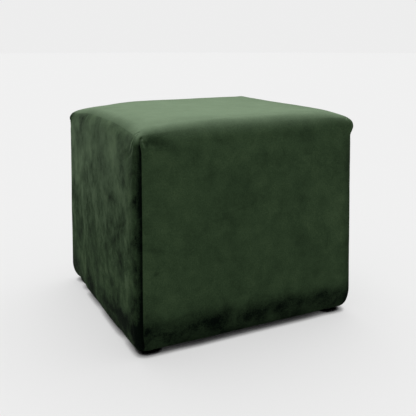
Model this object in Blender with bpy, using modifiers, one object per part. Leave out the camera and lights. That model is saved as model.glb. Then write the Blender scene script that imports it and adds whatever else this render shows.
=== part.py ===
"""Cube pouf stool: a velvet cover pulled over a padded block, a black cloth under its base, four glides.

Metres, +Z up. The origin is on the floor under the middle of the stool. The wide front faces -Y.
"""

import math

import bmesh
import bpy

# Outside sizes
WIDTH = 0.46  # along X, across the front
DEPTH = 0.44  # along Y
HEIGHT = 0.40  # floor to the top of the crown

# Glides: turned plastic feet that carry the stool
GLIDE_HEIGHT = 0.0085
GLIDE_TOP_RADIUS = 0.0125
GLIDE_FOOT_RADIUS = 0.0095
GLIDE_RIM = 0.0022  # straight band at the top of a glide
GLIDE_CHAMFER = 0.0010
GLIDE_INSET = 0.038  # glide centre from the sides of the cover
GLIDE_STEPS = 32

# Base cloth: one sheet stapled flat over the underside
SEAT_GAP = 0.0003  # between neighbouring pieces
BASE_CLOTH_THICKNESS = 0.0012
BASE_CLOTH_MARGIN = 0.024  # its edge from the sides of the cover
BASE_CLOTH_CORNER = 0.012
COVER_BOTTOM = GLIDE_HEIGHT + BASE_CLOTH_THICKNESS + 2 * SEAT_GAP

# Crown of the top and the way it falls to its corners
EDGE_FALL = 0.003  # middle of an edge below the middle of the top
DROOP_SPREAD = 0.062
CORNER_DROOPS = (
    {"side_x": -1, "side_y": -1, "droop": 0.008},
    {"side_x": 1, "side_y": -1, "droop": 0.010},
    {"side_x": -1, "side_y": 1, "droop": 0.010},
    {"side_x": 1, "side_y": 1, "droop": 0.003},
)
SIDE_BOW = 0.0022  # how far the middle of a side stands out past its borders

# Rounded edges. A squareness of 2 is a quarter ellipse, and more is a tighter turn.
TOP_REACH = 0.033
TOP_SQUARENESS = 2.0
EAR_SQUARENESS = 2.6  # where two top edges meet
EAR_SPREAD = 0.040
BOTTOM_REACH = 0.015
BOTTOM_RISE = 0.026
CORNER_BOTTOM_RISE = 0.044  # the hem is pulled in higher at the corners
CORNER_SPREAD = 0.060

# Upright corners and the pleat that closes each of them
CORNER_RADIUS = 0.016
EAR_RADIUS = 0.011  # above the head of the pleat
CORNER_SOFTENING = 0.35  # growth of the plan radius over the top rounding
FLAT_TOP_FADE = 0.060
PLEAT_HEAD = 0.364
PLEAT_RAMP = 0.016
PLEAT_DEPTH = 0.0026
PLEAT_CREST = CORNER_RADIUS  # edge of the panel that laps over, from the corner
PLEAT_FLOOR = CORNER_RADIUS - 0.0016  # deepest line
PLEAT_START = 0.003  # where the cloth starts to run in
PLEAT_UNDER = 0.012  # how far it goes on under the bottom edge

# Tucks in the hem where the cloth is pulled under: side, place along it, half width, depth
HEM_TUCKS = (
    {"side": "left", "along": 0.165, "half_width": 0.016, "depth": 0.0022},
    {"side": "left", "along": 0.120, "half_width": 0.014, "depth": 0.0016},
    {"side": "left", "along": -0.130, "half_width": 0.018, "depth": 0.0012},
    {"side": "right", "along": -0.150, "half_width": 0.017, "depth": 0.0018},
    {"side": "right", "along": 0.125, "half_width": 0.015, "depth": 0.0014},
    {"side": "back", "along": 0.170, "half_width": 0.016, "depth": 0.0018},
    {"side": "back", "along": -0.060, "half_width": 0.020, "depth": 0.0010},
    {"side": "front", "along": 0.165, "half_width": 0.018, "depth": 0.0008},
)

# Cuts of the block: distances in from each upright face, and heights from each end
EDGE_CUTS = (0.005, 0.010, PLEAT_FLOOR, PLEAT_CREST, 0.021, 0.027, TOP_REACH, 0.046, 0.066, 0.094, 0.130, 0.170)
BOTTOM_ZONE = 0.024
BOTTOM_CUTS = (0.008, 0.016, BOTTOM_ZONE, 0.036, 0.055, 0.085, 0.125, 0.165)
TOP_ZONE = 0.036
TOP_CUTS = (0.009, 0.018, 0.027, TOP_ZONE, 0.043, 0.051, 0.061, 0.085, 0.120, 0.155)

VELVET = {"color": (0.022, 0.055, 0.024), "roughness": 0.85, "metallic": 0.0}
BASE_CLOTH = {"color": (0.012, 0.012, 0.013), "roughness": 0.90, "metallic": 0.0}
GLIDE_PLASTIC = {"color": (0.010, 0.010, 0.011), "roughness": 0.45, "metallic": 0.0}

HALF_X = WIDTH / 2
HALF_Y = DEPTH / 2
MIDDLE_Z = (COVER_BOTTOM + HEIGHT) / 2


def ease(start, end, value):
    """0 before start, 1 past end, and a smooth climb between them."""
    share = min(max((value - start) / (end - start), 0.0), 1.0)
    return share * share * (3 - 2 * share)


def bell(distance, spread):
    """1 at no distance, falling smoothly to nothing past about twice the spread."""
    return math.exp(-((distance / spread) ** 2))


def principled(name, finish):
    """A Principled BSDF material with the finish's colour, roughness and metallic value."""
    material = bpy.data.materials.new(name)
    material.use_nodes = True
    shader = material.node_tree.nodes["Principled BSDF"]
    shader.inputs["Base Color"].default_value = (*finish["color"], 1.0)
    shader.inputs["Roughness"].default_value = finish["roughness"]
    shader.inputs["Metallic"].default_value = finish["metallic"]
    return material


def add_object(name, mesh, collection, material):
    """A new object in the collection, in its one material."""
    thing = bpy.data.objects.new(name, mesh)
    mesh.materials.append(material)
    collection.objects.link(thing)
    return thing


def cut_block(form, axis, places):
    """Cuts the block across one axis at each of the places."""
    for place in places:
        point = [0.0, 0.0, 0.0]
        normal = [0.0, 0.0, 0.0]
        point[axis] = place
        normal[axis] = 1.0
        whole = form.verts[:] + form.edges[:] + form.faces[:]
        bmesh.ops.bisect_plane(form, geom=whole, dist=1e-6, plane_co=point, plane_no=normal)


def block_grid():
    """The sharp block of the cover, cut into a grid that is fine along its edges and pleats."""
    form = bmesh.new()
    bmesh.ops.create_cube(form, size=1.0)
    for vertex in form.verts:
        vertex.co.x *= WIDTH
        vertex.co.y *= DEPTH
        vertex.co.z = COVER_BOTTOM if vertex.co.z < 0 else HEIGHT
    for axis, half in ((0, HALF_X), (1, HALF_Y)):
        cut_block(form, axis, [0.0])
        cut_block(form, axis, [side * (half - cut) for side in (-1, 1) for cut in EDGE_CUTS])
    cut_block(form, 2, [COVER_BOTTOM + cut for cut in BOTTOM_CUTS])
    cut_block(form, 2, [HEIGHT - cut for cut in TOP_CUTS])
    cut_block(form, 2, [MIDDLE_Z])
    return form


def edge_turn(step, reach, rise, squareness):
    """How far in and how far from the flat face the cloth lies, from the side (0) to the flat (1)."""
    turn = step * math.pi / 2
    power = 2 / squareness
    inset = reach * (1 - max(math.cos(turn), 0.0) ** power)
    off_flat = rise * (1 - max(math.sin(turn), 0.0) ** power)
    return inset, off_flat


def top_height(x, y):
    """Height of the crowned top over a place in plan, with its drooping corners."""
    fall = EDGE_FALL * (1 - (1 - (x / HALF_X) ** 2) * (1 - (y / HALF_Y) ** 2))
    for corner in CORNER_DROOPS:
        to_corner = math.hypot(corner["side_x"] * HALF_X - x, corner["side_y"] * HALF_Y - y)
        fall += corner["droop"] * bell(to_corner, DROOP_SPREAD)
    return HEIGHT - fall


def side_of(x, y):
    """The upright face that a place on the block's outline is on, and the place along it."""
    if HALF_Y - abs(y) < HALF_X - abs(x):
        return ("front", x) if y < 0 else ("back", x)
    return ("left", y) if x < 0 else ("right", y)


def pleat_depth(side, along, z):
    """How far the cloth runs in at the corner pleat, which laps over at one end of every side."""
    half = HALF_X if side in ("front", "back") else HALF_Y
    pleat_end = -1 if side in ("front", "right") else 1
    from_corner = half - pleat_end * along
    if not PLEAT_START < from_corner < PLEAT_CREST:
        return 0.0
    if from_corner < PLEAT_FLOOR:
        share = ease(PLEAT_START, PLEAT_FLOOR, from_corner)
    else:
        share = (PLEAT_CREST - from_corner) / (PLEAT_CREST - PLEAT_FLOOR)
    return PLEAT_DEPTH * share * ease(PLEAT_HEAD, PLEAT_HEAD - PLEAT_RAMP, z)


def tuck_depth(side, along, z):
    """How far the hem is drawn in at its tucks, most at the bottom edge."""
    low = 1 - ease(COVER_BOTTOM, COVER_BOTTOM + 2 * BOTTOM_RISE, z)
    drawn = 0.0
    for tuck in HEM_TUCKS:
        if tuck["side"] == side:
            drawn += tuck["depth"] * bell(along - tuck["along"], tuck["half_width"])
    return drawn * low


def bow_depth(side, along, z):
    """How far a side lies inside the outside size, nothing at its middle."""
    half = HALF_X if side in ("front", "back") else HALF_Y
    up = (z - MIDDLE_Z) / (HEIGHT - MIDDLE_Z)
    return SIDE_BOW * (1 - (1 - (along / half) ** 2) * (1 - up**2))


def rounded_plan(x, y, half_x, half_y, radius):
    """A place on a sharp rectangle's outline, moved to the same rectangle with round corners."""
    past_x = abs(x) - (half_x - radius)
    past_y = abs(y) - (half_y - radius)
    if radius <= 0 or past_x <= 0 or past_y <= 0:
        return x, y
    on_y_face = past_x < past_y
    share = (past_x if on_y_face else past_y) / radius
    angle = share * math.pi / 4
    along = radius * math.sin(angle)
    out = radius * math.cos(angle)
    far_x, far_y = (along, out) if on_y_face else (out, along)
    return (
        math.copysign(half_x - radius + far_x, x),
        math.copysign(half_y - radius + far_y, y),
    )


def shaped(x, y, z):
    """A place on the sharp block, moved to where the cloth lies."""
    in_x, in_y = HALF_X - abs(x), HALF_Y - abs(y)
    ring = min(in_x, in_y)
    from_corner = max(in_x, in_y)
    ear = bell(from_corner, EAR_SPREAD)
    low_rise = BOTTOM_RISE + (CORNER_BOTTOM_RISE - BOTTOM_RISE) * bell(from_corner, CORNER_SPREAD)
    inset, off_flat, share = ring, 0.0, 1.0
    upper = z > MIDDLE_Z
    if upper:
        if ring < TOP_REACH and z > HEIGHT - TOP_ZONE:
            step = 0.5 + 0.5 * ring / TOP_REACH - 0.5 * (HEIGHT - z) / TOP_ZONE
            squareness = TOP_SQUARENESS + (EAR_SQUARENESS - TOP_SQUARENESS) * ear
            inset, off_flat = edge_turn(step, TOP_REACH, TOP_ZONE, squareness)
        elif ring < 1e-6:
            off_flat = HEIGHT - z
            share = (z - MIDDLE_Z) / (HEIGHT - TOP_ZONE - MIDDLE_Z)
    elif ring < BOTTOM_REACH and z < COVER_BOTTOM + BOTTOM_ZONE:
        step = 0.5 + 0.5 * ring / BOTTOM_REACH - 0.5 * (z - COVER_BOTTOM) / BOTTOM_ZONE
        inset, off_flat = edge_turn(step, BOTTOM_REACH, low_rise, 2.0)
    elif ring < 1e-6:
        share = (MIDDLE_Z - z) / (MIDDLE_Z - COVER_BOTTOM - BOTTOM_ZONE)
        off_flat = z - COVER_BOTTOM + share * (low_rise - BOTTOM_ZONE)

    height = HEIGHT - off_flat if upper else COVER_BOTTOM + off_flat
    side, along = side_of(x, y)
    fade = 1 - ease(0.0, FLAT_TOP_FADE, ring)
    drawn = (tuck_depth(side, along, height) + bow_depth(side, along, height)) * fade
    drawn += pleat_depth(side, along, height) * (1 - ease(0.0, PLEAT_UNDER, ring))
    half_x = HALF_X - inset - drawn
    half_y = HALF_Y - inset - drawn
    radius = EAR_RADIUS + (CORNER_RADIUS - EAR_RADIUS) * ease(
        PLEAT_HEAD + PLEAT_RAMP, PLEAT_HEAD - PLEAT_RAMP, height
    )
    radius = (radius + CORNER_SOFTENING * min(inset, TOP_REACH)) * fade
    plan_x, plan_y = x, y
    if fade > 0:
        plan_x *= half_x / (HALF_X - ring)
        plan_y *= half_y / (HALF_Y - ring)
        plan_x, plan_y = rounded_plan(plan_x, plan_y, half_x, half_y, radius)
    if upper:
        height -= share * (HEIGHT - top_height(plan_x, plan_y))
    return plan_x, plan_y, height


def build_cover(collection):
    """The velvet cover over its padding, as one filled solid with a pleat down each corner."""
    form = block_grid()
    for vertex in form.verts:
        vertex.co = shaped(*vertex.co)
    mesh = bpy.data.meshes.new("cover")
    form.to_mesh(mesh)
    form.free()
    mesh.shade_smooth()
    add_object("cover", mesh, collection, principled("green_velvet", VELVET))


def build_base_cloth(collection):
    """The black sheet under the base, with rounded corners."""
    form = bmesh.new()
    bmesh.ops.create_cube(form, size=1.0)
    size_x = WIDTH - 2 * BASE_CLOTH_MARGIN
    size_y = DEPTH - 2 * BASE_CLOTH_MARGIN
    bmesh.ops.scale(form, vec=(size_x, size_y, BASE_CLOTH_THICKNESS), verts=form.verts)
    upright = [edge for edge in form.edges if abs(edge.verts[0].co.z - edge.verts[1].co.z) > 1e-6]
    bmesh.ops.bevel(form, geom=upright, offset=BASE_CLOTH_CORNER, segments=6, profile=0.5, affect="EDGES")
    mesh = bpy.data.meshes.new("base_cloth")
    form.to_mesh(mesh)
    form.free()
    sheet = add_object("base_cloth", mesh, collection, principled("black_base_cloth", BASE_CLOTH))
    sheet.location.z = GLIDE_HEIGHT + SEAT_GAP + BASE_CLOTH_THICKNESS / 2


def glide_profile():
    """The glide's outer side, from the middle of its top, out and down to the middle of its foot."""
    return (
        (0.0, GLIDE_HEIGHT),
        (GLIDE_TOP_RADIUS, GLIDE_HEIGHT),
        (GLIDE_TOP_RADIUS, GLIDE_HEIGHT - GLIDE_RIM),
        (GLIDE_FOOT_RADIUS, GLIDE_CHAMFER),
        (GLIDE_FOOT_RADIUS - GLIDE_CHAMFER, 0.0),
        (0.0, 0.0),
    )


def turned_glide_mesh():
    """One glide's profile, which a Screw modifier turns about Z."""
    profile = glide_profile()
    mesh = bpy.data.meshes.new("glide")
    points = [(radius, 0.0, z) for radius, z in profile]
    edges = [(i, i + 1) for i in range(len(points) - 1)]
    mesh.from_pydata(points, edges, [])
    return mesh


def build_glides(collection):
    """Four glides, one near each corner of the base."""
    material = principled("black_glide_plastic", GLIDE_PLASTIC)
    for y_name, y_side in (("front", -1), ("back", 1)):
        for x_name, x_side in (("left", -1), ("right", 1)):
            name = f"glide_{y_name}_{x_name}"
            glide = add_object(name, turned_glide_mesh(), collection, material)
            glide.location.x = x_side * (HALF_X - GLIDE_INSET)
            glide.location.y = y_side * (HALF_Y - GLIDE_INSET)
            turn = glide.modifiers.new("turn", "SCREW")
            turn.axis = "Z"
            turn.steps = GLIDE_STEPS
            turn.render_steps = GLIDE_STEPS
            turn.use_merge_vertices = True
            turn.merge_threshold = 0.00001
            turn.use_smooth_shade = True


for old in list(bpy.data.objects):
    bpy.data.objects.remove(old)

pouf = bpy.data.collections.new("cube_pouf_stool")
bpy.context.scene.collection.children.link(pouf)
build_cover(pouf)
build_base_cloth(pouf)
build_glides(pouf)
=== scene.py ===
import math

import bpy
import numpy as np
from mathutils import Euler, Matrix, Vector, noise


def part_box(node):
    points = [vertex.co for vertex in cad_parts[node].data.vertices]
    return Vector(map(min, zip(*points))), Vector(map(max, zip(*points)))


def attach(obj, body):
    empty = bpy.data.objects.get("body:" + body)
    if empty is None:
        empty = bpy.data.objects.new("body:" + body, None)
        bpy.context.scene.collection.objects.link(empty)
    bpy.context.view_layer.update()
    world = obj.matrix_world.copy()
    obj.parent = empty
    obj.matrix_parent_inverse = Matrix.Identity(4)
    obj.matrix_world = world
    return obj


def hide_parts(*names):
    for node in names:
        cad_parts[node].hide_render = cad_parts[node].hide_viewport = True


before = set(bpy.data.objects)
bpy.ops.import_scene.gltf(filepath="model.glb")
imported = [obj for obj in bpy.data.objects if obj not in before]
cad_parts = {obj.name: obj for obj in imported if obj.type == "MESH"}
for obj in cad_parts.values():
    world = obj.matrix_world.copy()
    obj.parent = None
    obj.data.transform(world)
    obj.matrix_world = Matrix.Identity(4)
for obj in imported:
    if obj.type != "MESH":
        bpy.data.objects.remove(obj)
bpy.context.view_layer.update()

# ------------------------------------------------------------------------------ velvet cover
# One cross-cut piece of short-pile velvet is pulled down over a padded wooden cube. At each
# upright corner one side is lapped over the next in a single pleat, and the hem is drawn under
# the base and stapled, so that the bottom edges are round and a little gathered.

cover_low, cover_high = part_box("cover")
HALF_X = cover_high.x
HALF_Y = cover_high.y
BOTTOM = cover_low.z
TOP = cover_high.z
MIDDLE_Z = (BOTTOM + TOP) / 2

# The rounding of the block's edges
TOP_REACH = 0.0334
TOP_RISE = 0.036
ROUND = 2.0  # squareness of a plain round edge
EAR_SPREAD = 0.048
BOTTOM_REACH = 0.0126
BOTTOM_ZONE = 0.024
BOTTOM_RISE = 0.0236
CORNER_SPREAD = 0.060
CORNER_RADIUS = 0.0148
EAR_RADIUS = 0.0095
CORNER_SOFTENING = 0.29
FLAT_TOP_FADE = 0.060

# How the top stands full along its edges and falls to its corners. For each corner: which way it
# lies, how far it droops and how widely, how square its ear is, and how high its hem rounds up.
CROWN = 0.0035  # of the fullest parts over the nominal height
EDGE_FALL = -0.0055  # less than 0, because the edges stand over the middle
CORNERS = (
    dict(side_x=-1, side_y=-1, droop=0.0120, spread=0.085, square=2.6, rise=0.044),
    dict(side_x=1, side_y=-1, droop=0.0098, spread=0.055, square=4.0, rise=0.040),
    dict(side_x=-1, side_y=1, droop=0.0170, spread=0.090, square=3.2, rise=0.035),
    dict(side_x=1, side_y=1, droop=0.0020, spread=0.055, square=2.7, rise=0.040),
)

# How full and how upright the sides are, and how the top corners stand out like ears
SIDE_BOW = 0.0022
LEAN_IN = 0.0059  # of the front, back and left sides, from the bottom to the top
RIGHT_LEAN_IN = 0.0056
LEAN_FROM = 0.02
LEAN_TO = 0.36
EAR_BULGE = 0.0028
EAR_HEIGHT = 0.3765
EAR_WIDTH = 0.030
EAR_DEPTH = 0.0145

# The pleat down each corner
PLEAT_HEAD = 0.3715
PLEAT_RAMP = 0.009
PLEAT_DEPTH = 0.0034
PLEAT_CREST = CORNER_RADIUS
PLEAT_FLOOR = CORNER_RADIUS - 0.0012
PLEAT_START = 0.0005
PLEAT_UNDER = 0.012

# Cells from an edge of the block, and how far in from the edge they lie. They are fine at the
# pleats and at the rounded edges, and two of them hold the lap of the pleat.
CELLS = 64
CELLS_ACROSS = ((0, 0.0), (5, 0.010), (7, PLEAT_FLOOR), (8, PLEAT_CREST), (11, 0.0215), (17, 0.047))
CELLS_DOWN = ((0, 0.0), (12, 0.030), (19, 0.052))
CELLS_UP = ((0, 0.0), (10, 0.024), (15, 0.045))

SIDES = ("front", "right", "back", "left")
SIDES_BEFORE = ("left", "front", "right", "back")  # the sides that wrap round into each of them
TOUCHING = 1e-6

# Where the hem is drawn in: side, place along it, half width and depth
HEM_TUCKS = (
    {"side": "left", "along": 0.165, "half_width": 0.016, "depth": 0.0026},
    {"side": "left", "along": 0.120, "half_width": 0.014, "depth": 0.0020},
    {"side": "left", "along": 0.020, "half_width": 0.020, "depth": 0.0008},
    {"side": "left", "along": -0.130, "half_width": 0.018, "depth": 0.0012},
    {"side": "right", "along": -0.150, "half_width": 0.017, "depth": 0.0018},
    {"side": "right", "along": 0.125, "half_width": 0.015, "depth": 0.0014},
    {"side": "back", "along": 0.170, "half_width": 0.016, "depth": 0.0018},
    {"side": "back", "along": -0.060, "half_width": 0.020, "depth": 0.0010},
    {"side": "front", "along": 0.165, "half_width": 0.018, "depth": 0.0008},
)

# The padding pushes the cloth out a little between its sewn corners
START_INSIDE = 0.0009
MOST_SWELLING = 0.0014
PADDING_PRESSURE = 4.0
PADDING_STEPS = 20
SEWN_REACH = 0.0005
HEM_REACH = 0.001

# Fine creases that run from the head of each pleat, by how far along from the lapped corner and
# how high they start and end, how far they bow out between, and their half width and depth
HEAD_CREASES = (
    dict(start=(-0.004, 0.391), end=(-0.034, 0.346), bow=0.010, half_width=0.0032, depth=0.0017),
    dict(start=(-0.010, 0.393), end=(-0.050, 0.352), bow=0.012, half_width=0.0040, depth=0.0014),
    dict(start=(0.0125, 0.379), end=(0.0140, 0.352), bow=0.000, half_width=0.0022, depth=0.0030),
    dict(start=(0.0190, 0.374), end=(0.0240, 0.360), bow=0.001, half_width=0.0020, depth=0.0024),
    dict(start=(0.0160, 0.376), end=(0.0195, 0.363), bow=0.000, half_width=0.0014, depth=-0.0018),
    dict(start=(0.0240, 0.378), end=(0.0500, 0.371), bow=-0.002, half_width=0.0060, depth=0.0008),
)
CREASE_FADE = 0.6  # of each crease's depth, from its start to its end

# Waviness of the cloth over the padding: how fine each set of waves is, and how deep
SLACK = ((14, 0.0005), (45, 0.0002))


def ease(start, end, value):
    """0 before start, 1 past end, and a smooth climb between them."""
    share = np.clip((value - start) / (end - start), 0, 1)
    return share * share * (3 - 2 * share)


def bell(distance, spread):
    """1 at no distance, falling smoothly to nothing past about twice the spread."""
    return np.exp(-((distance / spread) ** 2))


def stationed(cells, stations, half):
    """Cube coordinates from -1 to 1, moved to the distances that the stations give."""
    counts, distances = zip(*stations, (CELLS // 2, half))
    in_from_edge = np.interp((1 - np.abs(cells)) * CELLS / 2, counts, distances)
    return np.sign(cells) * (half - in_from_edge)


def edge_turn(step, reach, rise, squareness):
    """How far in and how far off the flat the cloth lies, from the side (0) to the flat (1)."""
    turn = np.clip(step, 0, 1) * math.pi / 2
    power = 2 / squareness
    inset = reach * (1 - np.maximum(np.cos(turn), 0) ** power)
    off_flat = rise * (1 - np.maximum(np.sin(turn), 0) ** power)
    return inset, off_flat


def distance_to(corner, x, y):
    """In plan, from the sharp corner of the block."""
    return np.hypot(corner["side_x"] * HALF_X - x, corner["side_y"] * HALF_Y - y)


def top_fall(x, y):
    """How far the top lies below its middle at each place in plan, or over it where less than 0."""
    fall = EDGE_FALL * (1 - (1 - (x / HALF_X) ** 2) * (1 - (y / HALF_Y) ** 2))
    for corner in CORNERS:
        fall += corner["droop"] * bell(distance_to(corner, x, y), corner["spread"])
    return fall


def rounded_plan(x, y, half_x, half_y, radius):
    """Places on a sharp rectangle's outline, moved to the same rectangle with round corners."""
    past_x = np.abs(x) - (half_x - radius)
    past_y = np.abs(y) - (half_y - radius)
    turned = (radius > 0) & (past_x > 0) & (past_y > 0)
    share = np.minimum(past_x, past_y) / np.maximum(radius, TOUCHING)
    angle = np.clip(share, 0, 1) * math.pi / 4
    near, far = radius * np.sin(angle), radius * np.cos(angle)
    on_y_face = past_x < past_y
    out_x = half_x - radius + np.where(on_y_face, near, far)
    out_y = half_y - radius + np.where(on_y_face, far, near)
    return np.where(turned, np.copysign(out_x, x), x), np.where(turned, np.copysign(out_y, y), y)


def pulled_over(block):
    """The cloth's rest shape: each place on the sharp block, moved to where the cloth lies."""
    x, y, z = block.T
    in_x, in_y = HALF_X - np.abs(x), HALF_Y - np.abs(y)
    ring = np.minimum(in_x, in_y)
    upper = z > MIDDLE_Z
    on_side = ring < TOUCHING
    low_rise, squareness = BOTTOM_RISE, ROUND
    for corner in CORNERS:
        away = distance_to(corner, x, y)
        low_rise = low_rise + (corner["rise"] - BOTTOM_RISE) * bell(away, CORNER_SPREAD)
        squareness = squareness + (corner["square"] - ROUND) * bell(away, EAR_SPREAD)

    top_step = 0.5 + 0.5 * ring / TOP_REACH - 0.5 * (TOP - z) / TOP_RISE
    top_in, top_off = edge_turn(top_step, TOP_REACH, TOP_RISE, squareness)
    low_step = 0.5 + 0.5 * ring / BOTTOM_REACH - 0.5 * (z - BOTTOM) / BOTTOM_ZONE
    low_in, low_off = edge_turn(low_step, BOTTOM_REACH, low_rise, ROUND)
    top_turn = upper & (ring < TOP_REACH) & (z > TOP - TOP_RISE)
    low_turn = ~upper & (ring < BOTTOM_REACH) & (z < BOTTOM + BOTTOM_ZONE)
    upright = on_side & ~top_turn & ~low_turn

    up_share = (z - MIDDLE_Z) / (TOP - TOP_RISE - MIDDLE_Z)
    down_share = (MIDDLE_Z - z) / (MIDDLE_Z - BOTTOM - BOTTOM_ZONE)
    stretched = z - BOTTOM + down_share * (low_rise - BOTTOM_ZONE)
    inset = np.where(top_turn, top_in, np.where(low_turn, low_in, ring))
    off_flat = np.where(top_turn, top_off, np.where(low_turn, low_off, 0.0))
    off_flat = np.where(upright, np.where(upper, TOP - z, stretched), off_flat)
    height = np.where(upper, TOP - off_flat, BOTTOM + off_flat)

    along = np.where(in_y < in_x, x / HALF_X, y / HALF_Y)
    up = (height - MIDDLE_Z) / (TOP - MIDDLE_Z)
    fade = 1 - ease(0.0, FLAT_TOP_FADE, ring)
    inset = inset + SIDE_BOW * (1 - (1 - along**2) * (1 - up**2)) * fade
    radius = EAR_RADIUS + (CORNER_RADIUS - EAR_RADIUS) * ease(
        PLEAT_HEAD + PLEAT_RAMP, PLEAT_HEAD - PLEAT_RAMP, height
    )
    radius = (radius + CORNER_SOFTENING * np.minimum(inset, TOP_REACH)) * fade
    half_x, half_y = HALF_X - inset, HALF_Y - inset
    plan_x = np.where(fade > 0, x * half_x / np.maximum(HALF_X - ring, TOUCHING), x)
    plan_y = np.where(fade > 0, y * half_y / np.maximum(HALF_Y - ring, TOUCHING), y)
    plan_x, plan_y = rounded_plan(plan_x, plan_y, half_x, half_y, radius)
    share = np.where(upright, up_share, 1.0)
    height = height - np.where(upper, share * top_fall(plan_x, plan_y), 0.0)
    for corner in CORNERS:
        near = bell(distance_to(corner, plan_x, plan_y), EAR_WIDTH)
        bulge = EAR_BULGE * near * bell((height - EAR_HEIGHT) ** 2, EAR_DEPTH**2)
        plan_x = plan_x + corner["side_x"] * bulge
        plan_y = plan_y + corner["side_y"] * bulge
    risen = np.clip((height - LEAN_FROM) / (LEAN_TO - LEAN_FROM), 0, 1)
    plan_x = plan_x * (1 - np.where(plan_x > 0, RIGHT_LEAN_IN, LEAN_IN) * risen / HALF_X)
    plan_y = plan_y * (1 - LEAN_IN * risen / HALF_Y)
    return np.stack([plan_x, plan_y, height], axis=1)


def side_places(block):
    """Of each upright side: which places are on it, where along it, and how far from its pleat."""
    x, y, _ = block.T
    nearer_y = HALF_Y - np.abs(y) < HALF_X - np.abs(x)
    return {
        "front": (nearer_y & (y < 0), x, HALF_X + x),
        "right": (~nearer_y & (x > 0), y, HALF_Y + y),
        "back": (nearer_y & (y > 0), x, HALF_X - x),
        "left": (~nearer_y & (x < 0), y, HALF_Y - y),
    }


def in_from_sides(block):
    """How far each place lies in from the nearest upright side."""
    x, y, _ = block.T
    return np.minimum(HALF_X - np.abs(x), HALF_Y - np.abs(y))


def round_each_corner(block):
    """For each pleat: the two sides' places, and how far past its corner they lie, or before it."""
    places = side_places(block)
    for side, before in zip(SIDES, SIDES_BEFORE):
        on_side, _, past = places[side]
        on_before, _, from_far_end = places[before]
        length = 2 * (HALF_X if before in ("front", "back") else HALF_Y)
        yield on_side | on_before, np.where(on_side, past, from_far_end - length)


def pleat_depth(block, height):
    """How far the cloth runs in at the corner pleats."""
    depth = np.zeros(len(block))
    for on_side, _, from_corner in side_places(block).values():
        run_in = ease(PLEAT_START, PLEAT_FLOOR, from_corner)
        lapped = np.clip((PLEAT_CREST - from_corner) / (PLEAT_CREST - PLEAT_FLOOR), 0, 1)
        depth += np.where(on_side, PLEAT_DEPTH * np.minimum(run_in, lapped), 0.0)
    depth *= ease(PLEAT_HEAD, PLEAT_HEAD - PLEAT_RAMP, height)
    return depth * (1 - ease(0.0, PLEAT_UNDER, in_from_sides(block)))


def crease_depth(block, height):
    """How far the cloth runs in at the fine creases round the pleats' heads."""
    depth = np.zeros(len(block))
    for near, past_corner in round_each_corner(block):
        for crease in HEAD_CREASES:
            start, end = np.array(crease["start"]), np.array(crease["end"])
            run = end - start
            across = np.array([-run[1], run[0]]) / np.linalg.norm(run)
            to_x, to_z = past_corner - start[0], height - start[1]
            share = np.clip((to_x * run[0] + to_z * run[1]) / (run @ run), 0, 1)
            bowed = crease["bow"] * 4 * share * (1 - share)
            off_x = to_x - share * run[0] - bowed * across[0]
            off_z = to_z - share * run[1] - bowed * across[1]
            line = bell(np.hypot(off_x, off_z), crease["half_width"]) * (1 - CREASE_FADE * share)
            depth += np.where(near, crease["depth"] * line, 0.0)
    return depth


def tuck_depth(block, height):
    """How far the hem is drawn in at its tucks, most at the bottom edge."""
    depth = np.zeros(len(block))
    places = side_places(block)
    for tuck in HEM_TUCKS:
        on_side, along, _ = places[tuck["side"]]
        drawn = tuck["depth"] * bell(along - tuck["along"], tuck["half_width"])
        depth += np.where(on_side, drawn, 0.0)
    return depth * (1 - ease(BOTTOM, BOTTOM + 2 * BOTTOM_RISE, height))


def slack_depth(places):
    """The slight waviness of the cloth at each place."""
    waves = [[noise.noise(Vector(place) * fine) for fine, _ in SLACK] for place in places]
    return np.array(waves) @ np.array([depth for _, depth in SLACK])


def vertex_array(piece, what="co"):
    """The vertices' places, or another vector of theirs, as an array."""
    values = np.zeros(len(piece.data.vertices) * 3)
    piece.data.vertices.foreach_get(what, values)
    return values.reshape(-1, 3)


def set_places(piece, places):
    """Moves the vertices to the places of an array."""
    piece.data.vertices.foreach_set("co", places.ravel())
    piece.data.update()


def block_places(piece):
    """Where each vertex was on the sharp block."""
    values = np.zeros(len(piece.data.vertices) * 3)
    piece.data.attributes["block"].data.foreach_get("vector", values)
    return values.reshape(-1, 3)


bpy.ops.object.select_all(action="DESELECT")
bpy.ops.mesh.primitive_cube_add(size=2)
cover = bpy.context.object
cover.name = "velvet_cover"
bpy.ops.object.mode_set(mode="EDIT")
bpy.ops.mesh.select_all(action="SELECT")
bpy.ops.mesh.subdivide(number_cuts=CELLS - 1)
bpy.ops.object.mode_set(mode="OBJECT")

cells = vertex_array(cover)
block = np.stack(
    [
        stationed(cells[:, 0], CELLS_ACROSS, HALF_X),
        stationed(cells[:, 1], CELLS_ACROSS, HALF_Y),
        np.where(
            cells[:, 2] > 0,
            stationed(cells[:, 2], CELLS_DOWN, TOP - MIDDLE_Z),
            stationed(cells[:, 2], CELLS_UP, TOP - MIDDLE_Z),
        )
        + MIDDLE_Z,
    ],
    axis=1,
)
on_block = cover.data.attributes.new("block", "FLOAT_VECTOR", "POINT")
on_block.data.foreach_set("vector", block.ravel())
set_places(cover, pulled_over(block))

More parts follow.
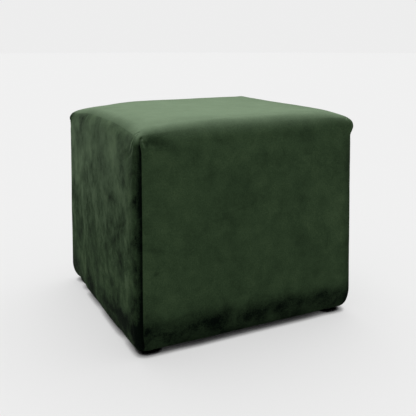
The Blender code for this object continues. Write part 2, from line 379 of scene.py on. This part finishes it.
start = vertex_array(cover) - START_INSIDE * vertex_array(cover, "normal")
set_places(cover, start)
sewn = cover.vertex_groups.new(name="sewn")
seams = np.zeros(len(block), bool)
for on_side, _, from_corner in side_places(block).values():
    along_crest = np.abs(from_corner - PLEAT_CREST) < SEWN_REACH
    seams |= on_side & along_crest & (block[:, 2] < PLEAT_HEAD)
seams |= block[:, 2] < BOTTOM + HEM_REACH
sewn.add(np.flatnonzero(seams).tolist(), 1.0, "REPLACE")
cloth = cover.modifiers.new("padding_pushes", "CLOTH")
cloth.settings.quality = 4
cloth.settings.vertex_group_mass = sewn.name
cloth.settings.use_pressure = True
cloth.settings.uniform_pressure_force = PADDING_PRESSURE
cloth.settings.effector_weights.gravity = 0
cloth.collision_settings.use_collision = False
for step in range(1, PADDING_STEPS + 1):
    bpy.context.scene.frame_set(step)
pushed = cover.evaluated_get(bpy.context.evaluated_depsgraph_get())
swollen = vertex_array(pushed)
cover.modifiers.remove(cloth)
cover.vertex_groups.remove(sewn)
bpy.context.scene.frame_set(1)
moved = swollen - start
far = np.linalg.norm(moved, axis=1, keepdims=True)
set_places(cover, start + moved * MOST_SWELLING / (MOST_SWELLING + far))

smoother = cover.modifiers.new("finer", "SUBSURF")
smoother.levels = 1
smoother.render_levels = 1
bpy.ops.object.modifier_apply(modifier=smoother.name)

block = block_places(cover)
places = vertex_array(cover)
depth = pleat_depth(block, places[:, 2]) + tuck_depth(block, places[:, 2])
depth += crease_depth(block, places[:, 2]) + slack_depth(places)
places = places - vertex_array(cover, "normal") * depth[:, None]
low, high = places.min(axis=0), places.max(axis=0)
full_size = np.array(cover_high - cover_low) + np.array([0, 0, CROWN])
grown = full_size / (high - low)
set_places(cover, np.array(cover_low) + (places - low) * grown)
bpy.ops.object.shade_smooth()

# Where the pile has been brushed the other way, and a painted crease shade and a painted highlight
# at the front left pleat's head:
# side, place along it and height, half width and half height, tilt in degrees, and how dark, or how
# pale where less than 0
PILE_MARKS_AND_SHADE = (
    {"side": "front", "at": (-0.073, 0.369), "half": (0.012, 0.006), "tilt": -35, "dark": 0.40},
    {"side": "front", "at": (0.023, 0.335), "half": (0.003, 0.011), "tilt": 8, "dark": 0.25},
    {"side": "front", "at": (0.009, 0.303), "half": (0.008, 0.004), "tilt": 15, "dark": 0.35},
    {"side": "front", "at": (0.107, 0.314), "half": (0.008, 0.003), "tilt": -30, "dark": 0.40},
    {"side": "front", "at": (0.098, 0.303), "half": (0.005, 0.003), "tilt": 0, "dark": 0.35},
    {"side": "front", "at": (0.122, 0.330), "half": (0.009, 0.003), "tilt": 10, "dark": 0.25},
    {"side": "front", "at": (-0.184, 0.370), "half": (0.026, 0.011), "tilt": -18, "dark": 1.25},
    {"side": "front", "at": (-0.150, 0.384), "half": (0.050, 0.008), "tilt": 0, "dark": 0.35},
    # Painted shade in a crease at the pleat's head, and a painted highlight on the pucker beside it
    {"side": "front", "at": (-0.2045, 0.370), "half": (0.003, 0.007), "tilt": -20, "dark": 0.70},
    {"side": "front", "at": (-0.2110, 0.373), "half": (0.002, 0.006), "tilt": 0, "dark": -0.50},
    {"side": "front", "at": (-0.165, 0.050), "half": (0.055, 0.020), "tilt": 8, "dark": 0.31},
    {"side": "front", "at": (-0.198, 0.191), "half": (0.018, 0.003), "tilt": -8, "dark": 0.55},
    {"side": "front", "at": (-0.176, 0.165), "half": (0.005, 0.003), "tilt": 0, "dark": 0.50},
    {"side": "front", "at": (-0.193, 0.149), "half": (0.006, 0.004), "tilt": 20, "dark": 0.70},
    {"side": "front", "at": (-0.204, 0.078), "half": (0.014, 0.006), "tilt": 10, "dark": 0.40},
    {"side": "front", "at": (-0.208, 0.055), "half": (0.006, 0.010), "tilt": 0, "dark": 0.50},
    {"side": "front", "at": (-0.176, 0.057), "half": (0.016, 0.006), "tilt": 12, "dark": 0.37},
    {"side": "front", "at": (-0.177, 0.036), "half": (0.005, 0.010), "tilt": 0, "dark": 0.31},
    {"side": "front", "at": (-0.128, 0.064), "half": (0.010, 0.004), "tilt": 0, "dark": 0.25},
    {"side": "front", "at": (-0.090, 0.046), "half": (0.030, 0.008), "tilt": 0, "dark": 0.28},
    {"side": "front", "at": (-0.022, 0.042), "half": (0.026, 0.009), "tilt": 5, "dark": 0.34},
    {"side": "front", "at": (0.028, 0.042), "half": (0.020, 0.010), "tilt": 12, "dark": 0.40},
    {"side": "front", "at": (0.058, 0.046), "half": (0.016, 0.012), "tilt": 20, "dark": 0.59},
    {"side": "front", "at": (0.082, 0.058), "half": (0.010, 0.007), "tilt": 15, "dark": 0.31},
    {"side": "front", "at": (0.110, 0.048), "half": (0.022, 0.008), "tilt": 10, "dark": 0.28},
    {"side": "front", "at": (0.158, 0.055), "half": (0.017, 0.007), "tilt": 12, "dark": 0.37},
    {"side": "left", "at": (0.110, 0.379), "half": (0.055, 0.008), "tilt": 0, "dark": 0.55},
    {"side": "left", "at": (-0.080, 0.082), "half": (0.016, 0.003), "tilt": 0, "dark": 0.60},
    {"side": "left", "at": (0.071, 0.304), "half": (0.010, 0.012), "tilt": 0, "dark": 0.45},
    {"side": "left", "at": (0.165, 0.207), "half": (0.012, 0.016), "tilt": 0, "dark": 0.50},
    {"side": "left", "at": (-0.150, 0.330), "half": (0.012, 0.022), "tilt": 0, "dark": 0.30},
    {"side": "left", "at": (-0.020, 0.240), "half": (0.014, 0.030), "tilt": 0, "dark": 0.30},
    {"side": "right", "at": (-0.060, 0.300), "half": (0.014, 0.018), "tilt": 20, "dark": 0.35},
    {"side": "right", "at": (0.120, 0.220), "half": (0.010, 0.024), "tilt": 0, "dark": 0.35},
    {"side": "right", "at": (0.020, 0.090), "half": (0.040, 0.009), "tilt": 5, "dark": 0.45},
    {"side": "back", "at": (0.080, 0.310), "half": (0.012, 0.008), "tilt": 30, "dark": 0.35},
    {"side": "back", "at": (-0.110, 0.180), "half": (0.009, 0.020), "tilt": 0, "dark": 0.35},
    {"side": "back", "at": (-0.030, 0.050), "half": (0.050, 0.010), "tilt": 0, "dark": 0.50},
)

# How crushed the pile of each side is, and how that fades out over the top edge
CRUSHED = {"left": 1.0, "right": 0.6, "back": 0.5, "front": 0.18}
CRUSHED_FADE = 0.030
FLAT_TOP = 0.001
# How far in from the sides the painted shade along the top's edges reaches
TOP_EDGE_SHADE_REACH = 0.12

# The band of painted shade over the hem, where the pile is also pressed flat
HEM_BAND = 0.062
HEM_BAND_WAVE = 0.014
HEM_BAND_FADE = 0.020
HEM_BAND_WAVES = 22  # how fine they are

# The painted shade in the turn of the pile into each pleat, partly the pile's own darker lie there:
# how wide it is, how it narrows to the pleat's head, and where its broad and its close shade reach
# full dark
TURN_WIDTH = 0.034
HEAD_NARROWING = 0.72
NARROWS_FROM = PLEAT_HEAD - 0.026
NARROWS_TO = PLEAT_HEAD + 0.003
BROAD_SHADE = (-TURN_WIDTH, 0.2 * PLEAT_FLOOR)
CLOSE_SHADE = (-0.3 * PLEAT_FLOOR, 0.9 * PLEAT_FLOOR)
SHADE_STARTS = PLEAT_HEAD + 0.006
SHADE_FULL = PLEAT_HEAD - 0.004


def marks_and_shade(block, height):
    """How dark the marks in the pile, and the painted shade and highlight among them, are at each
    vertex.
    """
    dark = np.zeros(len(block))
    places = side_places(block)
    for mark in PILE_MARKS_AND_SHADE:
        on_side, along, _ = places[mark["side"]]
        tilt = math.radians(mark["tilt"])
        off_x, off_z = along - mark["at"][0], height - mark["at"][1]
        run = (off_x * math.cos(tilt) + off_z * math.sin(tilt)) / mark["half"][0]
        rise = (off_z * math.cos(tilt) - off_x * math.sin(tilt)) / mark["half"][1]
        dark += np.where(on_side, mark["dark"] * bell(np.hypot(run, rise), 1.0), 0.0)
    return dark


def corner_shade(block, height):
    """How dark the painted shade in the turn of the pile at each corner is, partly the pile's own
    lie, most at the foot of the lap.
    """
    dark = np.zeros(len(block))
    narrowed = 1 - HEAD_NARROWING * ease(NARROWS_FROM, NARROWS_TO, height)
    for near, past_corner in round_each_corner(block):
        turned = PLEAT_FLOOR - (PLEAT_FLOOR - past_corner) / narrowed
        shade = 0.5 * ease(*BROAD_SHADE, turned) + 0.5 * ease(*CLOSE_SHADE, turned)
        before_lap = 1 - ease(PLEAT_FLOOR, PLEAT_CREST, past_corner)
        dark += np.where(near, shade * before_lap, 0.0)
    return dark * ease(SHADE_STARTS, SHADE_FULL, height)


def hem_shade(block, height):
    """The band of painted shade over the hem, where the pile is also pressed flat, with its wavy
    upper edge.
    """
    round_hem = block * HEM_BAND_WAVES
    round_hem[:, 2] = 0.5
    waves = np.array([noise.noise(Vector(place)) for place in round_hem])
    edge = HEM_BAND + HEM_BAND_WAVE * waves
    return 1 - ease(edge - HEM_BAND_FADE, edge + HEM_BAND_FADE, height)


def paint(piece, name, values):
    """Keeps a value for each vertex that the piece's material reads."""
    piece.data.attributes.new(name, "FLOAT", "POINT").data.foreach_set("value", values)


height = vertex_array(cover)[:, 2]
inward = in_from_sides(block)
crushed = np.zeros(len(block))
for side, (on_side, _, _) in side_places(block).items():
    crushed += np.where(on_side & (block[:, 2] < TOP - FLAT_TOP), CRUSHED[side], 0.0)
paint(cover, "crushed_pile", crushed * (1 - ease(0.0, CRUSHED_FADE, inward)))
# Marks in the pile, with a painted crease shade and highlight at a pleat's head
paint(cover, "pile_marks_and_shade", marks_and_shade(block, height))
# Painted shade in the turn of the pile into each pleat
paint(cover, "corner_shade", corner_shade(block, height))
# Painted shade over the hem
paint(cover, "hem_shade", hem_shade(block, height))
# Painted shade along the top's edges, which dims the painted top light there
paint(cover, "top_edge_shade", 1 - ease(0.0, TOP_EDGE_SHADE_REACH, inward))
# Painted top light, by how far each place faces up
paint(cover, "painted_top_light", np.clip(vertex_array(cover, "normal")[:, 2], 0, 1))


def node(tree, kind, label=None, **settings):
    """A shader node with its settings and the values of its inputs."""
    made = tree.nodes.new(kind)
    made.label = label or ""
    for name, value in settings.items():
        if name in made.inputs:
            made.inputs[name].default_value = value
        else:
            setattr(made, name, value)
    return made


def principled(name):
    """A new material, its tree and its Principled shader."""
    material = bpy.data.materials.new(name)
    material.use_nodes = True
    tree = material.node_tree
    shader = tree.nodes.get("Principled BSDF")
    return material, tree, shader


def combined(tree, operation, first, second, clamp=False):
    """A math node on two values, each a number or a socket."""
    made = node(tree, "ShaderNodeMath", operation=operation, use_clamp=clamp)
    for place, value in enumerate((first, second)):
        if isinstance(value, (int, float)):
            made.inputs[place].default_value = value
        else:
            tree.links.new(value, made.inputs[place])
    return made.outputs[0]


def patchy_noise():
    """The group of nodes for uneven cloth and plastic: stretched noise, from about -0.5 to 0.5."""
    group = bpy.data.node_groups.new("patchy noise", "ShaderNodeTree")
    group.interface.new_socket("Coordinates", in_out="INPUT", socket_type="NodeSocketVector")
    stretch = group.interface.new_socket("Stretch", in_out="INPUT", socket_type="NodeSocketVector")
    stretch.default_value = (1, 1, 1)
    for name, usual in (("Scale", 5.0), ("Detail", 2.0), ("Roughness", 0.5), ("Distortion", 0.0)):
        socket = group.interface.new_socket(name, in_out="INPUT", socket_type="NodeSocketFloat")
        socket.default_value = usual
    group.interface.new_socket("Patches", in_out="OUTPUT", socket_type="NodeSocketFloat")
    given = node(group, "NodeGroupInput")
    mapping = node(group, "ShaderNodeMapping", "stretched")
    group.links.new(given.outputs["Coordinates"], mapping.inputs["Vector"])
    group.links.new(given.outputs["Stretch"], mapping.inputs["Scale"])
    uneven = node(group, "ShaderNodeTexNoise", "uneven")
    group.links.new(mapping.outputs["Vector"], uneven.inputs["Vector"])
    for name in ("Scale", "Detail", "Roughness", "Distortion"):
        group.links.new(given.outputs[name], uneven.inputs[name])
    centred = combined(group, "SUBTRACT", uneven.outputs["Fac"], 0.5)
    group.links.new(centred, node(group, "NodeGroupOutput").inputs["Patches"])
    return group


PATCHY_NOISE = patchy_noise()


def patchy(tree, coordinates, label, stretch=(1, 1, 1), **settings):
    """The patchy noise placed in a material, with values of its own."""
    made = node(tree, "ShaderNodeGroup", label, node_tree=PATCHY_NOISE, Stretch=stretch, **settings)
    tree.links.new(coordinates, made.inputs["Coordinates"])
    return made.outputs["Patches"]


def painted(tree, name):
    """A value kept on the mesh."""
    return node(tree, "ShaderNodeAttribute", name, attribute_name=name).outputs["Fac"]


def scaled_sum(tree, start, *shares):
    """The sum of a start value and shares of other values."""
    total = start
    for value, share in shares:
        total = combined(tree, "ADD", total, combined(tree, "MULTIPLY", value, share))
    return total


def ranged(tree, value, label, start, end, low=0.0, high=1.0):
    """A value that runs from low to high while another runs from start to end."""
    made = node(tree, "ShaderNodeMapRange", label)
    for name, limit in (("From Min", start), ("From Max", end), ("To Min", low), ("To Max", high)):
        made.inputs[name].default_value = limit
    tree.links.new(value, made.inputs["Value"])
    return made.outputs["Result"]


def toned(tree, value, label, *tones):
    """A colour by a value from 0 to 1, out of evenly spaced tones."""
    made = node(tree, "ShaderNodeValToRGB", label)
    elements = made.color_ramp.elements
    for place in range(1, len(tones) - 1):
        elements.new(place / (len(tones) - 1))
    for element, tone in zip(elements, tones):
        element.color = (*tone, 1)
    tree.links.new(value, made.inputs["Fac"])
    return made.outputs["Color"]


def bumped(tree, shader, relief, label, strength, distance):
    """Gives a shader a fine relief."""
    made = node(tree, "ShaderNodeBump", label, Strength=strength, Distance=distance)
    tree.links.new(relief, made.inputs["Height"])
    tree.links.new(made.outputs["Normal"], shader.inputs["Normal"])


# The pile's tones: its darkest (which the painted shade reaches), on its lie and on its pale side,
# and the pale tone of the painted sheen and painted top light, where it is seen from the side
PILE_TONES = ((0.0006, 0.0036, 0.0016), (0.0400, 0.0720, 0.0325), (0.095, 0.150, 0.070))
PAINTED_SHEEN_TONE = (0.198, 0.276, 0.176)
SHEEN_GROWS_FROM = 0.02  # heights over which the painted sheen grows, from weak at the hem to strong up the sides
SHEEN_GROWS_TO = 0.37

velvet, tree, shader = principled("green_velvet")
coordinates = node(tree, "ShaderNodeTexCoord").outputs["Object"]
broad = patchy(tree, coordinates, "broad pressing", Scale=9, Detail=2)
mottle = patchy(
    tree, coordinates, "mottled pile", Scale=38, Detail=4, Roughness=0.6, Distortion=0.5
)
tufts = patchy(tree, coordinates, "tufts", Scale=420, Detail=2, Roughness=0.7)
crushed_streaks = dict(Scale=34, Detail=6, Roughness=0.68, Distortion=0.5)
streaks = patchy(tree, coordinates, "crushed streaks", (1, 1, 0.75), **crushed_streaks)
crushed_patches = dict(Scale=13, Detail=5, Roughness=0.66, Distortion=0.4)
patches = patchy(tree, coordinates, "crushed patches", (1, 1, 0.9), **crushed_patches)
streaked = scaled_sum(tree, -0.02, (streaks, 0.75), (patches, 1.0))
streaked = combined(tree, "MULTIPLY", streaked, painted(tree, "crushed_pile"))
lie = scaled_sum(
    tree,
    0.5,
    (streaked, 1.5),
    (mottle, 0.42),
    (broad, 0.24),
    (tufts, 0.46),
    (painted(tree, "pile_marks_and_shade"), -0.26),
    (painted(tree, "corner_shade"), -0.50),
    (painted(tree, "hem_shade"), -0.345),
    (combined(tree, "MULTIPLY", mottle, painted(tree, "hem_shade")), 0.12),
)
pile_colour = toned(tree, lie, "pile colour", *PILE_TONES)
# The painted sheen grows from weak at the hem to strong up the sides
up = node(tree, "ShaderNodeSeparateXYZ")
tree.links.new(coordinates, up.inputs[0])
sheen_by_height = ranged(
    tree, up.outputs["Z"], "painted sheen by height", SHEEN_GROWS_FROM, SHEEN_GROWS_TO, -0.50, 1.08
)
# Painted sheen: the pile's colour goes towards a pale tone where it is seen from the side
glancing = node(tree, "ShaderNodeLayerWeight", "painted sheen seen from the side", Blend=0.5)
painted_light = combined(tree, "POWER", glancing.outputs["Facing"], 4.0)
sheen_strength = scaled_sum(
    tree,
    sheen_by_height,
    (streaked, 2.2),
    (mottle, 0.5),
    (broad, 0.5),
    (painted(tree, "pile_marks_and_shade"), -0.55),
    (painted(tree, "corner_shade"), -0.8),
)
# The painted sheen is kept off faces that turn up; they take the painted top light instead
laid = combined(tree, "SUBTRACT", 1.0, painted(tree, "painted_top_light"))
painted_light = combined(tree, "MULTIPLY", combined(tree, "MULTIPLY", painted_light, sheen_strength), laid, clamp=True)
# Painted top light: faces that turn up go towards the pale tone, as if lit from above
upright = combined(tree, "POWER", painted(tree, "painted_top_light"), 2.2)
top_light_strength = scaled_sum(
    tree,
    0.90,
    (mottle, 0.22),
    (broad, 0.26),
    (tufts, 0.30),
    (painted(tree, "top_edge_shade"), -0.16),
    (painted(tree, "crushed_pile"), -0.34),
    (painted(tree, "pile_marks_and_shade"), -0.75),
)
upright = combined(tree, "MULTIPLY", upright, top_light_strength, clamp=True)
painted_light = combined(tree, "ADD", painted_light, upright, clamp=True)
# The pile's colour mixed with the painted sheen and the painted top light
pile = node(tree, "ShaderNodeMix", "painted sheen and top light", data_type="RGBA")
sockets = {socket.identifier: socket for socket in (*pile.inputs, *pile.outputs)}
sockets["B_Color"].default_value = (*PAINTED_SHEEN_TONE, 1)
tree.links.new(pile_colour, sockets["A_Color"])
tree.links.new(painted_light, sockets["Factor_Float"])
tree.links.new(sockets["Result_Color"], shader.inputs["Base Color"])
relief = scaled_sum(tree, 0.0, (tufts, 1.0), (streaked, 2.4), (mottle, 1.2))
bumped(tree, shader, relief, "pile bump", 0.35, 0.0008)
tree.links.new(scaled_sum(tree, 0.86, (mottle, -0.2)), shader.inputs["Roughness"])
shader.inputs["Specular IOR Level"].default_value = 0.06
shader.inputs["Sheen Weight"].default_value = 0.10
shader.inputs["Sheen Roughness"].default_value = 0.25
shader.inputs["Sheen Tint"].default_value = (0.36, 0.60, 0.28, 1)
cover.data.materials.append(velvet)
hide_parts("cover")
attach(cover, "root")

# ------------------------------------------------------------------------------ base cloth
# A thin black bonded cloth that closes the underside. It is cut as one rectangle and stapled all
# round under the hem, so it is drawn up at each staple and sags a little in its middle.

_, cloth_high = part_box("base_cloth")
CLOTH_HALF_X = cloth_high.x
CLOTH_HALF_Y = cloth_high.y
CLOTH_TOP = cloth_high.z
CLOTH_THICKNESS = 0.0006
CLOTH_CELLS = 104
CLOTH_SAG = 0.0022
STAPLE_STEP = 0.040
STAPLE_PUCKER = 0.0002
STAPLE_REACH = 0.020
CORNER_CUT = 0.010  # how much of its half width is trimmed off at the corners
CORNER_ROUND = 10
CLOTH_DARK = (0.006, 0.006, 0.007)
CLOTH_PALE = (0.030, 0.030, 0.032)


def between_staples(inward, along):
    """How far the cloth hangs along one edge, from 0 at a staple to 1 halfway to the next."""
    return bell(inward, STAPLE_REACH) * (1 - np.cos(2 * math.pi * along / STAPLE_STEP)) / 2


def stapled(places):
    """The flat cloth's places, its corners trimmed, its edges puckered and its middle slack."""
    across, down = places[:, 0] * 2, places[:, 1] * 2
    x = CLOTH_HALF_X * across * (1 - CORNER_CUT * down**CORNER_ROUND)
    y = CLOTH_HALF_Y * down * (1 - CORNER_CUT * across**CORNER_ROUND)
    at_sides = between_staples(CLOTH_HALF_X - np.abs(x), y)
    at_ends = between_staples(CLOTH_HALF_Y - np.abs(y), x)
    hangs = CLOTH_SAG * (1 - across**2) * (1 - down**2)
    hangs += STAPLE_PUCKER * np.maximum(at_sides, at_ends)
    return np.stack([x, y, CLOTH_TOP - CLOTH_THICKNESS / 2 - hangs], axis=1)


bpy.ops.object.select_all(action="DESELECT")
bpy.ops.mesh.primitive_grid_add(x_subdivisions=CLOTH_CELLS, y_subdivisions=CLOTH_CELLS, size=1)
base_cloth = bpy.context.object
base_cloth.name = "black_base_cloth"
set_places(base_cloth, stapled(vertex_array(base_cloth)))
thickness = base_cloth.modifiers.new("cloth_thickness", "SOLIDIFY")
thickness.thickness = CLOTH_THICKNESS
thickness.offset = 0
bpy.ops.object.modifier_apply(modifier=thickness.name)
bpy.ops.object.shade_smooth_by_angle(angle=math.radians(40))

black_cloth, tree, shader = principled("black_bonded_cloth")
coordinates = node(tree, "ShaderNodeTexCoord").outputs["Object"]
fibres = patchy(
    tree, coordinates, "pressed fibres", Scale=320, Detail=5, Roughness=0.75, Distortion=1.2
)
dusty = patchy(tree, coordinates, "dust and handling", Scale=16, Detail=3)
bonds = node(tree, "ShaderNodeTexVoronoi", "bonded spots", feature="F1", Scale=620, Randomness=0.25)
tree.links.new(coordinates, bonds.inputs["Vector"])
shade = scaled_sum(tree, 0.36, (fibres, 0.8), (dusty, 0.5), (bonds.outputs["Distance"], 0.25))
cloth_colour = toned(tree, shade, "cloth colour", CLOTH_DARK, CLOTH_PALE)
tree.links.new(cloth_colour, shader.inputs["Base Color"])
tree.links.new(scaled_sum(tree, 0.86, (fibres, 0.25), (dusty, 0.1)), shader.inputs["Roughness"])
relief = scaled_sum(tree, 0.0, (fibres, 1.0), (bonds.outputs["Distance"], 0.8))
bumped(tree, shader, relief, "fibres and bonds", 0.4, 0.0003)
shader.inputs["Specular IOR Level"].default_value = 0.2
base_cloth.data.materials.append(black_cloth)
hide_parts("base_cloth")
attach(base_cloth, "root")

# ------------------------------------------------------------------------------ glides
# Four moulded black plastic feet, nailed up through the base cloth near its corners. Their sides
# keep the fine grain of the mould, and the floor scuffs them grey underneath.

SCUFFED_UP_TO = 0.0022
PLASTIC_NEW = (0.007, 0.007, 0.008)
PLASTIC_SCUFFED = (0.075, 0.075, 0.078)

glide_plastic, tree, shader = principled("black_glide_plastic")
coordinates = node(tree, "ShaderNodeTexCoord").outputs["Object"]
grain = patchy(tree, coordinates, "moulded grain", Scale=1400, Detail=2, Roughness=0.6)
scratches = patchy(tree, coordinates, "scratches", (1, 0.12, 1), Scale=700, Detail=4, Roughness=0.7)
foot = node(tree, "ShaderNodeSeparateXYZ")
tree.links.new(coordinates, foot.inputs[0])
scuffed = ranged(tree, foot.outputs["Z"], "scuffed foot", SCUFFED_UP_TO, 0.0)
scuffs = scaled_sum(tree, 0.5, (scratches, 2.0))
worn = combined(tree, "MULTIPLY", scuffed, scuffs, clamp=True)
shade = scaled_sum(tree, 0.06, (worn, 0.7), (grain, 0.08))
plastic_colour = toned(tree, shade, "plastic colour", PLASTIC_NEW, PLASTIC_SCUFFED)
tree.links.new(plastic_colour, shader.inputs["Base Color"])
tree.links.new(scaled_sum(tree, 0.42, (worn, 0.35), (grain, 0.15)), shader.inputs["Roughness"])
relief = scaled_sum(tree, 0.0, (grain, 1.0), (scratches, 0.4))
bumped(tree, shader, relief, "grain and scratches", 0.25, 0.0002)
for name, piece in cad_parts.items():
    if name.startswith("glide"):
        piece.data.materials.clear()
        piece.data.materials.append(glide_plastic)

# ------------------------------------------------------------------------------ floor and light
# A pale studio floor under soft light, brightest from above and a little from behind the stool.
# Seen straight on it also glows, and right under the hem, where the stool all but touches it, a
# painted contact shadow darkens its grey and its glow.

FLOOR_GREY = 0.46
FLOOR_SEEN_DARKER = -0.155
FLOOR_GLOW = 0.535
CONTACT_REACH = 0.014
CONTACT_DARK = 0.52  # how much of the space over the floor is open where it is dark
CONTACT_OPEN = 0.94
BACKDROP = (0.85, 0.85, 0.85, 1)
ROOM_LIGHT = 0.34
ROOM_LIGHT_UP = 0.30
ROOM_LIGHT_RIGHT = 0.06
OVERHEAD_STRENGTH = 1.90
OVERHEAD_SOFTNESS = math.radians(70)
OVERHEAD_FROM = (0.15, 0.30, 1.0)

bpy.ops.object.select_all(action="DESELECT")
bpy.ops.mesh.primitive_circle_add(vertices=96, radius=30, fill_type="NGON", location=(0, 0, 0))
floor = bpy.context.object
floor.name = "studio_floor"
floor_paint, tree, shader = principled("pale_floor")
straight = node(tree, "ShaderNodeLightPath").outputs["Is Camera Ray"]
# Painted contact shadow: the floor's grey and glow darken where the stool closes over it
close_by = node(tree, "ShaderNodeAmbientOcclusion", "contact shade", Distance=CONTACT_REACH)
open_floor = ranged(tree, close_by.outputs["AO"], "open floor", CONTACT_DARK, CONTACT_OPEN)
grey = scaled_sum(tree, FLOOR_GREY, (straight, FLOOR_SEEN_DARKER))
tree.links.new(combined(tree, "MULTIPLY", grey, open_floor), shader.inputs["Base Color"])
shader.inputs["Emission Color"].default_value = (1, 1, 1, 1)
glow = combined(tree, "MULTIPLY", combined(tree, "MULTIPLY", open_floor, straight), FLOOR_GLOW)
tree.links.new(glow, shader.inputs["Emission Strength"])
shader.inputs["Roughness"].default_value = 1.0
shader.inputs["Specular IOR Level"].default_value = 0.0
floor.data.materials.append(floor_paint)

scene = bpy.context.scene
scene.view_settings.view_transform = "Standard"
scene.world = bpy.data.worlds.new("studio")
scene.world.use_nodes = True
tree = scene.world.node_tree
backdrop = tree.nodes["Background"]
backdrop.inputs["Color"].default_value = BACKDROP
direction = node(tree, "ShaderNodeSeparateXYZ")
tree.links.new(node(tree, "ShaderNodeTexCoord").outputs["Generated"], direction.inputs[0])
room_light = scaled_sum(
    tree,
    ROOM_LIGHT,
    (direction.outputs["Z"], ROOM_LIGHT_UP),
    (direction.outputs["X"], ROOM_LIGHT_RIGHT),
)
around = node(tree, "ShaderNodeBackground", Color=(1, 1, 1, 1))
tree.links.new(room_light, around.inputs["Strength"])
seen = node(tree, "ShaderNodeLightPath")
chosen = node(tree, "ShaderNodeMixShader")
tree.links.new(seen.outputs["Is Camera Ray"], chosen.inputs["Fac"])
tree.links.new(around.outputs[0], chosen.inputs[1])
tree.links.new(backdrop.outputs[0], chosen.inputs[2])
tree.links.new(chosen.outputs[0], tree.nodes["World Output"].inputs["Surface"])

overhead = bpy.data.lights.new("overhead_behind", "SUN")
overhead.angle = OVERHEAD_SOFTNESS
overhead.energy = OVERHEAD_STRENGTH
overhead_lamp = bpy.data.objects.new("overhead_behind", overhead)
overhead_lamp.rotation_euler = Vector(OVERHEAD_FROM).to_track_quat("Z", "Y").to_euler()
scene.collection.objects.link(overhead_lamp)

# ------------------------------------------------------------------------------ camera
# A little over the top's height, looking slightly down on the front and the left side.

CAMERA_PLACE = (-0.5484, -1.1496, 0.5335)
LOOKS_DOWN = math.radians(9.14)
LOOKS_RIGHT = math.radians(26.83)

eye = bpy.data.cameras.new("eye")
eye.sensor_width = 36
eye.lens = 53.88
eye.shift_x = -0.0192
eye.shift_y = -0.1587
camera = bpy.data.objects.new("camera", eye)
camera.location = CAMERA_PLACE
camera.rotation_euler = Euler((math.pi / 2 - LOOKS_DOWN, 0, -LOOKS_RIGHT))
scene.collection.objects.link(camera)
scene.camera = camera
